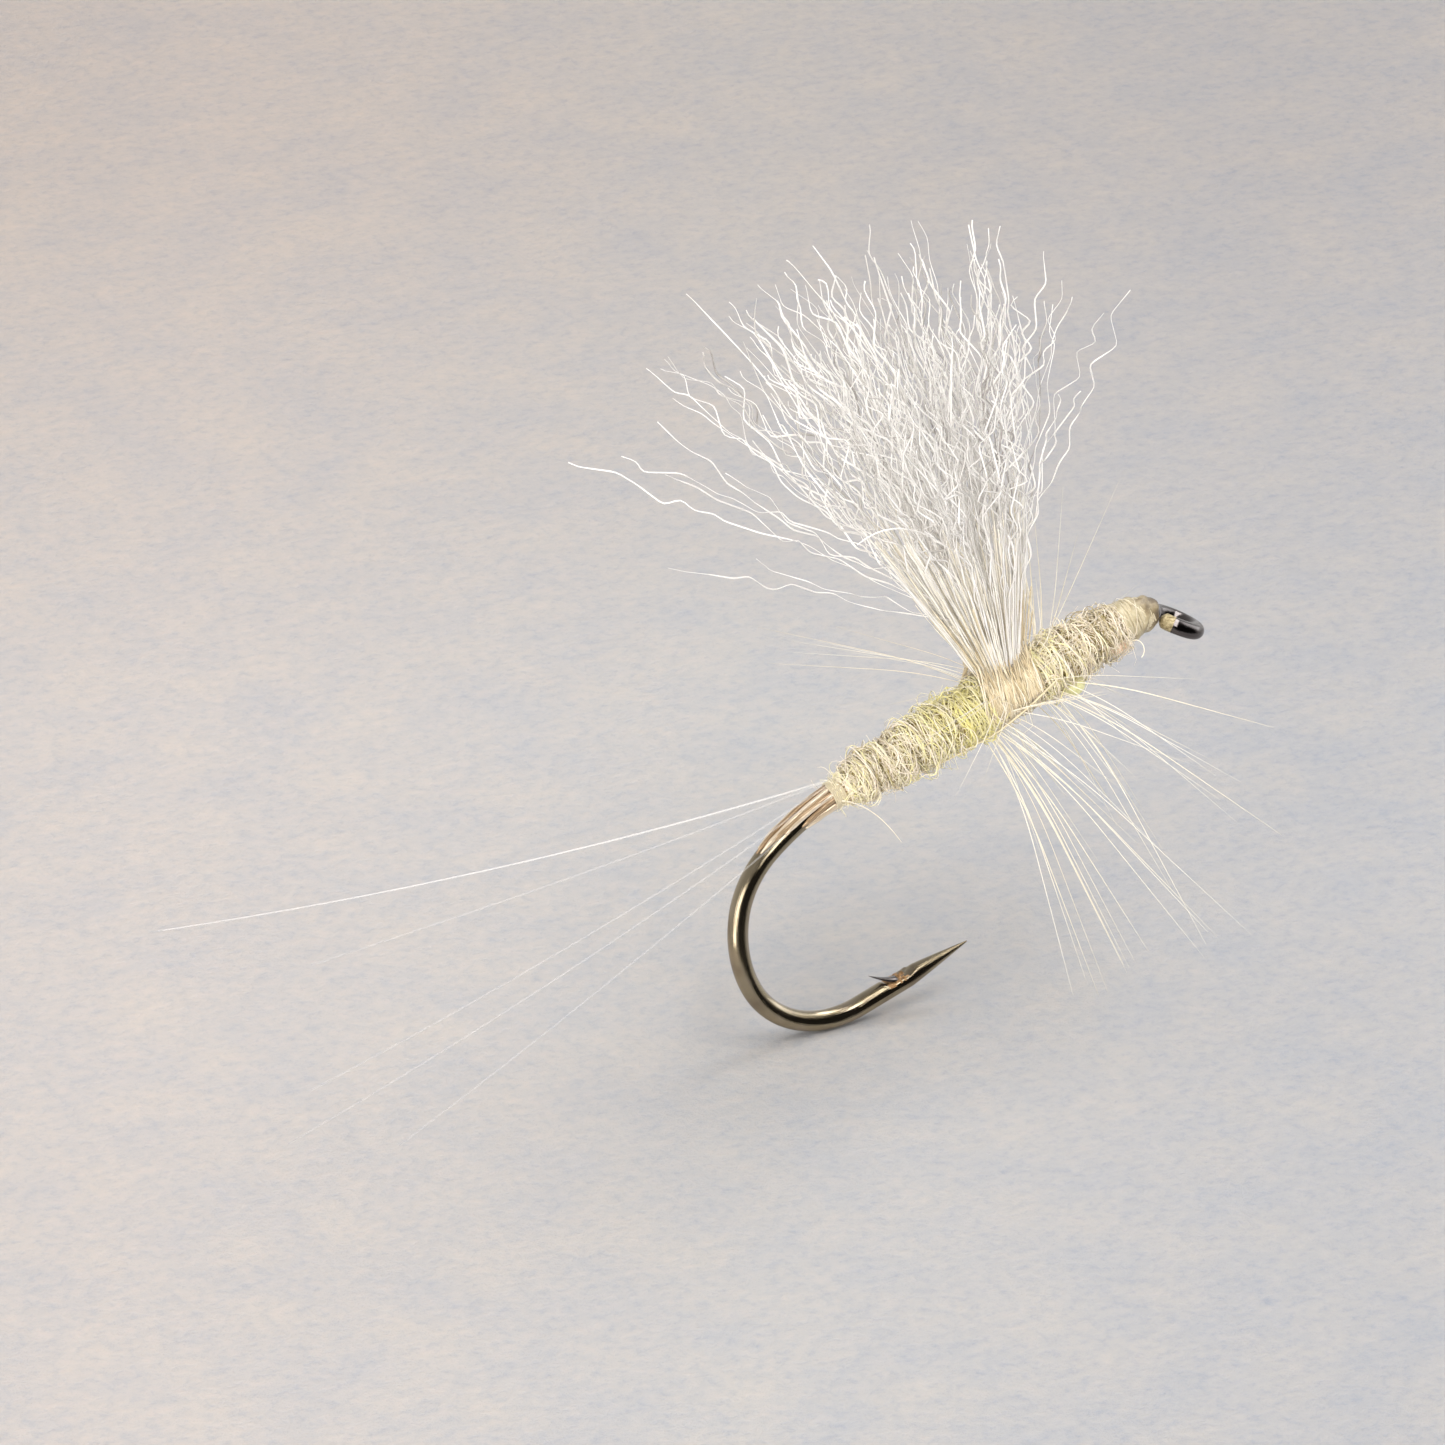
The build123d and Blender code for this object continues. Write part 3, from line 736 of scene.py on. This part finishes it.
def make_wing():
    yarn = yarn_material(
        "wing_yarn",
        (0.0, (0.32, 0.295, 0.275)),
        (0.22, (0.61, 0.58, 0.545)),
        (0.5, (0.83, 0.81, 0.785)),
        (1.0, (0.91, 0.88, 0.84)),
        # painted light near the roots of the dense fan
        root_tone=0.9,
        Emission_Strength=0.03,
    )
    groups = (
        ("wing_yarn_rear", -1.0, -0.33, "wing_locks_rear"),
        ("wing_yarn_middle", -0.33, 0.33, "wing_locks_middle"),
        ("wing_yarn_front", 0.33, 1.0, "wing_locks_front"),
    )
    a, b = uniform(-1, 1, 2, 4 * WING_FILAMENTS)
    inside = a**2 + b**2 < 1
    a, b = a[inside][:WING_FILAMENTS], b[inside][:WING_FILAMENTS]
    for name, low, high, node in groups:
        chosen = (a >= low) & (a < high)
        fa, fb = a[chosen], b[chosen]
        count = len(fa)
        roots = at(WAIST[0] + WAIST_R[0] * fa, WAIST[1], WAIST_R[1] * fb)
        lean_along = FAN_LEAN + FAN[0] * fa + rng.normal(0, 2, count)
        rays = wing_ray(lean_along, FAN[1] * fb + rng.normal(0, 2, count))
        reach = uniform(*WING_REACH, count) * (1 + 0.1 * np.clip(-fa, 0, 1))
        piece = Piece()
        widths = uniform(0.013, 0.023, count, 1)
        ribbons(piece, filament_paths(roots, rays, reach, 80), widths, uniform(0, 1, count) ** 0.8)
        piece.make(name, [yarn], "wing_yarn", node)

    piece = Piece()
    lean_along, lean_side, length = (np.array(v, float) for v in zip(*STRAYS))
    # a stray leaves the bundle part of the way up it
    roots = at(WAIST[0] + 0 * length, WAIST[1]) + wing_ray(lean_along * 0.5, lean_side * 0.5) * 1.4
    paths = filament_paths(roots, wing_ray(lean_along * 1.04, lean_side), length - 1.3, 80, 0.22, 0.2)
    ribbons(piece, paths, 0.016, uniform(0.3, 0.9, len(length)))
    # one broad, pale curl lies across the near side of the fan
    share = np.linspace(0, 1, 30)
    bow = 2 * share * (1 - share)
    along = 1.35 * (1 - share) ** 2 + 2.5 * bow + 3.3 * share**2
    up = 5.4 * (1 - share) ** 2 + 5.55 * bow + 3.7 * share**2
    curl = at(along, up, -1.5 + 0.2 * share)
    piece.tubes(curl[None], (0.03 * (0.4 + bow))[None, :, None], tone=0.35, flat=0.5, sides=6)
    piece.make("wing_stray_filaments", [yarn], "wing_yarn", "wing_strays")
    make_wing_foot()


def fan_place(a, b, up):
    """Station and side of a ray of the bundle at a height, a and b being -1 to 1 across it."""
    over = np.clip(up - WAIST[1], 0, None)
    half_along, half_side = (base + over * np.tan(np.radians(angle)) for base, angle in zip(WAIST_R, FAN))
    along = WAIST[0] + over * np.tan(np.radians(FAN_LEAN)) + half_along * a
    return along, half_side * b


def make_wing_foot():
    """The dense foot: straight yarn in the fan's bottom, and bases that hug the shank below it."""
    piece = Piece()
    share = np.linspace(0, 1, 30)
    # straight yarn round the middle of the bundle
    count = 300
    turn = uniform(0, 2 * pi, count, 1)
    out = np.sqrt(uniform(0.25, 1, count, 1))
    up = uniform(0.45, 0.9, count, 1) + uniform(1.2, 3.9, count, 1) * share
    along, side = fan_place(out * np.cos(turn), out * np.sin(turn), up)
    sway = 0.012 * np.sin(up * uniform(2, 6, count, 1) + uniform(0, 6, count, 1))
    ribbons(piece, at(along + sway, up, side + sway), uniform(0.012, 0.022, count, 1), uniform(0.5, 1, count))
    # bases that come up from under the body on either side
    count = 300
    near = np.where(uniform(0, 1, count, 1) < 0.65, 1, -1)
    a, b = uniform(-0.9, 0.9, 2, count, 1)
    low = uniform(-0.5, 0.15, count, 1)
    up = low + (uniform(0.9, 2.6, count, 1) - low) * share
    foot = 3.7 + 0.62 * a + rng.normal(0, 0.1, (count, 1))
    gather = smooth_step(-0.1, 0.95, up)
    fan_along, fan_side = fan_place(a, b, np.clip(up, 0.95, None))
    hug = np.interp(up, (-0.5, -0.3, 0.0, 0.25, 0.45, 0.9), (0.16, 0.38, 0.49, 0.46, 0.40, 0.30))
    over_side = -near * (hug + uniform(0, 0.05, count, 1))
    along = foot + (fan_along - foot) * gather
    side = over_side + (fan_side - over_side) * smooth_step(0.3, 1.1, up)
    ribbons(piece, at(along, up, side), uniform(0.011, 0.021, count, 1), uniform(0, 0.45, count))
    # the middle of the bundle, seen only between its filaments
    height = np.linspace(0.3, 3.4, 34)
    middle = np.interp(height, (0.3, 0.7, 1.1, 1.9, 2.6, 3.4), (0.18, 0.22, 0.27, 0.42, 0.42, 0.04))
    lean = np.tan(radians(FAN_LEAN)) * np.clip(height - WAIST[1], 0, None)
    sides = 28
    clock = 2 * pi * np.arange(sides) / sides
    strands = 0.025 * np.sin(clock * 9 + height[:, None]) + 0.02 * np.sin(clock * 14 - height[:, None] * 2)
    swell = (middle[:, None] + strands * np.clip(middle / 0.3, 0, 1)[:, None])[None]
    piece.tubes(at(WAIST[0] + lean, height)[None], swell, sides=sides, tone=0.7)
    foot_yarn = yarn_material(
        "wing_foot_yarn",
        (0.0, (0.50, 0.38, 0.20)),
        (0.2, (0.66, 0.54, 0.33)),
        (0.5, (0.88, 0.80, 0.63)),
        (1.0, (0.97, 0.95, 0.91)),
        Emission_Strength=0.06,
    )
    piece.make("wing_foot", [foot_yarn], "wing_yarn", "wing_root", "wing_butts")


# ------------------------ hackle

# Leading barbs: (station, clock, lean towards the eye, length, barbs in the bundle)
LEADING_BARBS = (
    (3.1, 166, -4, 5.5, 4),
    (3.15, 160, 3, 5.2, 3),
    (3.2, 157, 0, 5.2, 2),
    (3.2, 146, 11, 5.7, 3),
    (3.3, 138, 14, 6.0, 1),
    (4.5, 151, 3, 5.2, 1),
    (4.4, 136, 21, 4.9, 1),
    (4.6, 121, 36, 4.1, 1),
    (3.2, 105, 62, 1.9, 2),
    (4.2, 192, 14, 5.0, 2),
    (3.4, 204, 18, 5.0, 3),
    (4.5, 222, 26, 5.4, 3),
    (3.5, 232, 20, 5.4, 3),
    (4.6, 250, 24, 5.4, 3),
)
SWEPT_BACK = (-58, -38)
SWEPT_FORWARD = (4, 26)


def barb_paths(station, clock, lean, length, bent=10):
    """Barbs that leave the quill leaning forward, then curve out to their own direction."""
    points = 22
    share = np.linspace(0, 1, points)
    easing = 1 - smooth_step(0, 0.5, share)
    station, clock, lean, length = (np.asarray(v, float)[:, None] for v in (station, clock, lean, length))
    turned = clock - np.sign(180 - clock) * 0.5 * bent * easing
    headings = leaning(turned, lean + bent * easing)
    steps = headings[:, :-1] * (length / (points - 1))[..., None]
    radius = QUILL_RING_R * uniform(0.8, 1.05, len(station), 1)
    clock = np.radians(turned[:, :1])
    root = at(station, radius * np.cos(clock), -radius * np.sin(clock))
    return np.concatenate((root, root + np.cumsum(steps, axis=1)), axis=1)


def above_floor(paths, gap=0.02):
    """Presses the parts of strands that would pass through the floor onto it."""
    low = np.clip(gap - paths[..., 2], 0, None)
    paths[..., 2] += low
    return paths


def make_hackle():
    barb = fibre(
        "hackle_barb",
        ((0.0, (0.78, 0.67, 0.48)), (0.5, (0.86, 0.79, 0.64)), (1.0, (0.90, 0.86, 0.77))),
        (0.2, 0.4),
        Specular_IOR_Level=0.7,
    )
    thinning = barb.node("MapRange", Value=barb.attribute("share"), From_Min=0.35, To_Min=0.95, To_Max=0.45)
    barb.feed(barb.shader.inputs["Alpha"], thinning.outputs[0])
    barb = barb.material
    quill = fibre(
        "hackle_quill",
        ((0.0, (0.66, 0.57, 0.38)), (1.0, (0.86, 0.80, 0.64))),
        (0.3, 0.5),
        Specular_IOR_Level=0.6,
    ).material

    rows = []
    for station, clock, lean, length, bundle in LEADING_BARBS:
        for _ in range(bundle):
            row = np.array((station, clock, lean, length, 0.0145))
            rows.append(row + rng.normal(0, 1, 5) * (0.05, 2.5, 2, 0.15, 0.002))
    for station in HACKLE_STATIONS:
        swept = SWEPT_BACK if station < 4 else SWEPT_FORWARD
        for _ in range(7):
            clock = rng.uniform(-85, 85) % 360
            rows.append((station, clock, rng.uniform(*swept), rng.uniform(2.2, 4.6), 0.009))
        for _ in range(5):
            rows.append((station, rng.uniform(110, 200), rng.uniform(0, 30), rng.uniform(1.2, 4.4), 0.010))
    rows = np.array(rows)
    turn = np.argmin(np.abs(rows[:, :1] - np.array(HACKLE_STATIONS)), axis=1)
    share = np.linspace(0, 1, 22)
    for number, station in enumerate(HACKLE_STATIONS, 1):
        mine = rows[turn == number - 1]
        paths = barb_paths(*mine.T[:4])
        paths = above_floor(paths)
        piece = Piece()
        thickness = mine[:, 4:] * (1 - 0.75 * share**1.8)
        piece.tubes(paths, thickness[..., None], sides=5, tone=uniform(0.2, 1, len(mine)), flat=0.7)
        piece.make(f"hackle_fan_{number}", [barb], "hackle_barb", f"hackle_barbs_{number}")

    piece = Piece()
    turns = np.linspace(0, 1, 90)
    for station in HACKLE_STATIONS:
        clock = 2 * pi * turns
        along = station + 0.16 * (turns - 0.5)
        out = 0.44 + 0.01 * np.sin(5 * clock)
        piece.tubes(at(along, out * np.cos(clock), -out * np.sin(clock))[None], 0.034, sides=8, flat=0.7)
    piece.make("hackle_stem", [quill], "hackle_quill", "hackle_quill")

    piece = Piece()
    share = np.linspace(0, 1, 40)
    along = 4.6 - 3.5 * share
    clock = np.radians(np.interp(share, (0, 0.45, 1), (84, 124, 142)))
    out = np.interp(along, (1.1, 2.2, 3.2, 3.9, 4.6), (0.42, 0.53, 0.60, 0.60, 0.55))
    stem = at(along, out * np.cos(clock), -out * np.sin(clock))
    piece.tubes(stem[None], (0.022 - 0.012 * share)[None, :, None], sides=8, tone=0.0)
    piece.make("hackle_stem_tip", [quill], "hackle_quill", "hackle_tip")


# ------------------------ thread, wraps and head


def thread_material():
    m = Material("tying_thread", Sheen_Weight=0.3, Coat_Weight=0.15)
    strand = m.noise(m.grain((2, 2, 9)), 3.0, 3)
    m.colour(m.ramp(strand, (0.3, (0.40, 0.32, 0.19)), (0.55, (0.60, 0.52, 0.35)), (0.8, (0.76, 0.70, 0.54))))
    m.roughness(strand, 0.35, 0.6)
    m.bump(strand, 0.006)
    return m.material


def wind(piece, start, stop, turns, radius, thread_r, tone=0.5):
    """Thread wound round the shank, with radius a function of the station."""
    share = np.linspace(0, 1, int(turns * 28))
    along = start + (stop - start) * share
    clock = 2 * pi * turns * share
    out = radius(along) + 0.006 * np.sin(clock * 2.3)
    piece.tubes(head_skin(along, clock, out)[None], thread_r, sides=6, tone=tone)


def head_radius(along):
    return np.interp(along, (6.1, 6.25, 6.4, 6.6, 6.8, 7.0), (0.31, 0.36, 0.35, 0.31, 0.27, 0.2))


def head_path(along):
    """The head follows the shank, then droops with the neck."""
    return at(along, -0.5 * np.clip(along - 6.5, 0, None) ** 1.6)


def head_skin(along, clock, radius):
    return head_path(along) + radius[..., None] * radial(clock)


def make_thread():
    thread = thread_material()
    piece = Piece()
    wind(piece, -0.1, 0.14, 7, lambda s: 0.25 + 0 * s, 0.02)
    piece.make("tail_thread", [thread], "tying_thread", "tail_lashing")
    piece = Piece()
    wind(piece, 3.72, 4.18, 11, lambda s: 0.33 + 0 * s, 0.024)
    wind(piece, 4.15, 3.75, 8, lambda s: 0.35 + 0 * s, 0.022)
    piece.make("wing_thread", [thread], "tying_thread", "wing_wraps")
    piece = Piece()
    wind(piece, 0.0, 5.9, 90, lambda s: 0.2 + 0 * s, 0.034)
    piece.make("base_thread", [thread], "tying_thread", "thread_base")


def make_head():
    thread = thread_material()
    piece = Piece()
    along = np.linspace(6.1, 6.92, 20)
    piece.tubes(head_path(along)[None], (head_radius(along) - 0.02)[None, :, None], sides=24, tone=0.4)
    wind(piece, 6.14, 6.9, 16, head_radius, 0.024)
    wind(piece, 6.8, 6.2, 9, lambda s: head_radius(s) + 0.02, 0.02)
    piece.make("head_thread", [thread], "tying_thread", "head_wraps")
    piece = Piece()
    wind(piece, 6.6, 6.86, 6, lambda s: head_radius(s) + 0.015, 0.022)
    piece.make("whip_thread", [thread], "tying_thread", "whip_finish")

    piece = Piece()
    along = np.linspace(6.16, 6.98, 36)
    sides = 32
    clock = pi / 2 + 2 * pi * np.arange(sides) / sides
    waves = 0.014 * np.sin(along[:, None] * 30 + 2 * clock) + 0.012 * np.sin(5 * clock + along[:, None] * 17)
    sag = 0.05 * np.clip(-np.cos(clock), 0, None) * smooth_step(6.25, 6.5, along)[:, None]
    skin = head_radius(along)[:, None] + 0.026 + waves + sag
    ends = np.sqrt(np.clip(np.minimum(along - 6.14, 7.0 - along) / 0.06, 0, 1))
    piece.tubes(head_path(along)[None], (skin * ends[:, None])[None], sides=sides, tone=0.5)
    varnish = Material("head_varnish", Coat_Weight=0.5, Coat_Roughness=0.25, Alpha=0.75)
    soak = varnish.noise(varnish.place(), 4.0, 5, 0.6)
    share = varnish.attribute("share")
    along_head = varnish.node("Math", {"operation": "MULTIPLY_ADD"}, in0=share, in1=-0.35, in2=soak)
    varnish.colour(
        varnish.ramp(
            along_head.outputs[0],
            (0.1, (0.12, 0.08, 0.04)),
            (0.25, (0.33, 0.26, 0.15)),
            (0.42, (0.55, 0.47, 0.30)),
            (0.6, (0.72, 0.65, 0.46)),
        )
    )
    varnish.roughness(soak, 0.3, 0.55)
    varnish.bump(soak, 0.04)
    piece.make("head_varnish", [varnish.material], "clear_cement", "head_cement")


# ------------------------ surroundings


def make_floor():
    size = 0.6
    mesh = bpy.data.meshes.new("floor")
    corners = [(-size, -size, 0), (size, -size, 0), (size, size, 0), (-size, size, 0)]
    mesh.from_pydata(corners, [], [(0, 1, 2, 3)])
    floor = bpy.data.objects.new("floor", mesh)
    bpy.context.scene.collection.objects.link(floor)
    m = Material("paper", Specular_IOR_Level=0.2)
    cloud = m.noise(m.place(), 0.5, 6, 0.6)
    pulp = m.noise(m.place(), 4.0, 6, 0.75)
    tint = m.ramp(cloud, (0.3, (0.445, 0.455, 0.475)), (0.7, (0.505, 0.49, 0.475)))
    tooth = m.ramp(pulp, (0.3, (0.83, 0.87, 0.93)), (0.5, (0.98, 0.98, 0.98)), (0.7, (1.02, 1.0, 0.98)))
    drawn_out = {"Rotation": (0, 0, radians(55)), "Scale": (1.2, 2.4, 1)}
    lay = m.noise(m.node("Mapping", Vector=m.place(), **drawn_out).outputs[0], 1.6, 3, 0.6)
    flecks = m.ramp(lay, (0.36, (0.965, 0.972, 0.985)), (0.5, (1, 1, 1)), (0.66, (1.04, 1.022, 1.014)))
    paper = m.blend(1.0, m.blend(1.0, tint, tooth, "MULTIPLY"), flecks, "MULTIPLY")
    # painted light: the sheet is lit warmer and brighter on one side, and the light dims towards its far and
    # near edges
    turned = m.node("Mapping", Vector=m.place(), Rotation=(0, 0, radians(30))).outputs[0]
    sheet = m.node("SeparateXYZ", Vector=turned)
    across = m.node("MapRange", Value=sheet.outputs["X"], From_Min=-11, From_Max=11).outputs[0]
    painted_depth_falloff = m.node("MapRange", Value=sheet.outputs["Y"], From_Min=-14, From_Max=42).outputs[0]
    painted_side_light = (0.0, (1.0, 0.94, 0.905)), (0.5, (0.90, 0.885, 0.875)), (1.0, (0.80, 0.80, 0.815))
    across = m.ramp(across, *painted_side_light)
    painted_depth_falloff = m.ramp(painted_depth_falloff, (0.0, (0.95, 0.95, 0.95)), (0.5, (1.0, 1.0, 1.0)), (1.0, (0.93, 0.89, 0.86)))
    paper = m.blend(1.0, m.blend(1.0, paper, across, "MULTIPLY"), painted_depth_falloff, "MULTIPLY")
    m.colour(paper)
    m.roughness(pulp, 0.8, 0.95)
    m.bump(pulp, 0.05)
    mesh.materials.append(m.material)


DARK_SIDE = (0.24, -0.87, 0.43)  # where the room is dark, in front of the fly
VIEW_AZIMUTH = -30
VIEW_ELEVATION = 25
VIEW_DISTANCE = 220
VIEW_WIDTH = 25.72  # across the picture, at the fly
VIEW_CENTRE = (-1.985, 1.28)  # right and up of the body's rear


def view_axes():
    turn, rise = radians(VIEW_AZIMUTH), radians(VIEW_ELEVATION)
    right = np.array((cos(turn), sin(turn), 0))
    back = np.array((sin(turn) * cos(rise), -cos(turn) * cos(rise), sin(rise)))
    return right, np.cross(back, right), back


def make_camera():
    right, up, back = view_axes()
    target = REAR + right * VIEW_CENTRE[0] + up * VIEW_CENTRE[1]
    camera = bpy.data.objects.new("camera", bpy.data.cameras.new("camera"))
    camera.data.sensor_width = 36
    camera.data.lens = 36 * VIEW_DISTANCE / VIEW_WIDTH
    camera.data.clip_start = 0.005
    camera.data.clip_end = 5
    turn = Matrix((right, up, back)).transposed().to_4x4()
    camera.matrix_world = Matrix.Translation(Vector((target + back * VIEW_DISTANCE) * MM)) @ turn
    bpy.context.scene.collection.objects.link(camera)
    bpy.context.scene.camera = camera


def area_light(name, place, size, power, colour, in_gloss=True):
    """A soft box that faces the fly, with its place in millimetres."""
    light = bpy.data.lights.new(name, "AREA")
    light.shape = "RECTANGLE"
    light.size, light.size_y = (v * MM for v in size)
    light.energy = power
    light.color = colour
    thing = bpy.data.objects.new(name, light)
    direction = Vector(REAR + np.array((3, 0, 2))) - Vector(place)
    turn = direction.to_track_quat("-Z", "Y").to_matrix().to_4x4()
    thing.matrix_world = Matrix.Translation(Vector(place) * MM) @ turn
    thing.visible_glossy = in_gloss
    bpy.context.scene.collection.objects.link(thing)


def make_world():
    """Even studio light: bright over the fly, dimmer low down, and a dark hole at the front."""
    world = bpy.data.worlds.new("studio")
    world.use_nodes = True
    bpy.context.scene.world = world
    nodes, links = world.node_tree.nodes, world.node_tree.links
    background = nodes["Background"]
    where = nodes.new("ShaderNodeTexCoord").outputs["Generated"]

    def facing(direction, low, high, at_low, at_high):
        """Brightness by how nearly the light's direction is this one."""
        dot = nodes.new("ShaderNodeVectorMath")
        dot.operation = "DOT_PRODUCT"
        links.new(where, dot.inputs[0])
        dot.inputs[1].default_value = direction
        span = nodes.new("ShaderNodeMapRange")
        span.interpolation_type = "SMOOTHSTEP"
        links.new(dot.outputs["Value"], span.inputs["Value"])
        for key, value in (("From Min", low), ("From Max", high), ("To Min", at_low), ("To Max", at_high)):
            span.inputs[key].default_value = value
        return span.outputs[0]

    def times(first, second):
        node = nodes.new("ShaderNodeMath")
        node.operation = "MULTIPLY"
        links.new(first, node.inputs[0])
        links.new(second, node.inputs[1])
        return node.outputs[0]

    sky = facing((0, 0, 1), -0.1, 0.9, 0.8, 0.45)
    hole = facing(DARK_SIDE, 0.45, 0.8, 1.0, 0.04)
    links.new(times(sky, hole), background.inputs["Strength"])
    background.inputs["Color"].default_value = (1.0, 0.985, 0.97, 1)


def make_lights():
    make_world()
    area_light("left_box", (-100, -50, 45), (60, 80), 0.06, (1.0, 0.97, 0.93))
    area_light("top_box", (30, -20, 120), (230, 30), 0.14, (1.0, 0.99, 0.98))
    area_light("right_box", (90, 10, 60), (50, 70), 0.02, (0.97, 0.99, 1.0))
    area_light("front_fill", (-40, -115, 18), (140, 50), 0.165, (1.0, 0.98, 0.96), in_gloss=False)
    area_light("dome_fill", (0, 0, 160), (260, 260), 0.20, (1.0, 0.99, 0.98), in_gloss=False)
    bpy.context.scene.view_settings.view_transform = "Standard"


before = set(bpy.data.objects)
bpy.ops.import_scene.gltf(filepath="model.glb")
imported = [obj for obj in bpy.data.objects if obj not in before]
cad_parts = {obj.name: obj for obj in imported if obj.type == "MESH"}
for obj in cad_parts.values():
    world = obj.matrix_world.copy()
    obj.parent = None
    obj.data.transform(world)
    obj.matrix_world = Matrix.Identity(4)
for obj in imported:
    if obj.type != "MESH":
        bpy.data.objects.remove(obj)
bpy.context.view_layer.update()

make_camera()
make_lights()
make_floor()
make_hook()
make_tail()
make_sleeve()
make_thread()
make_body()
make_wing()
make_hackle()
make_head()
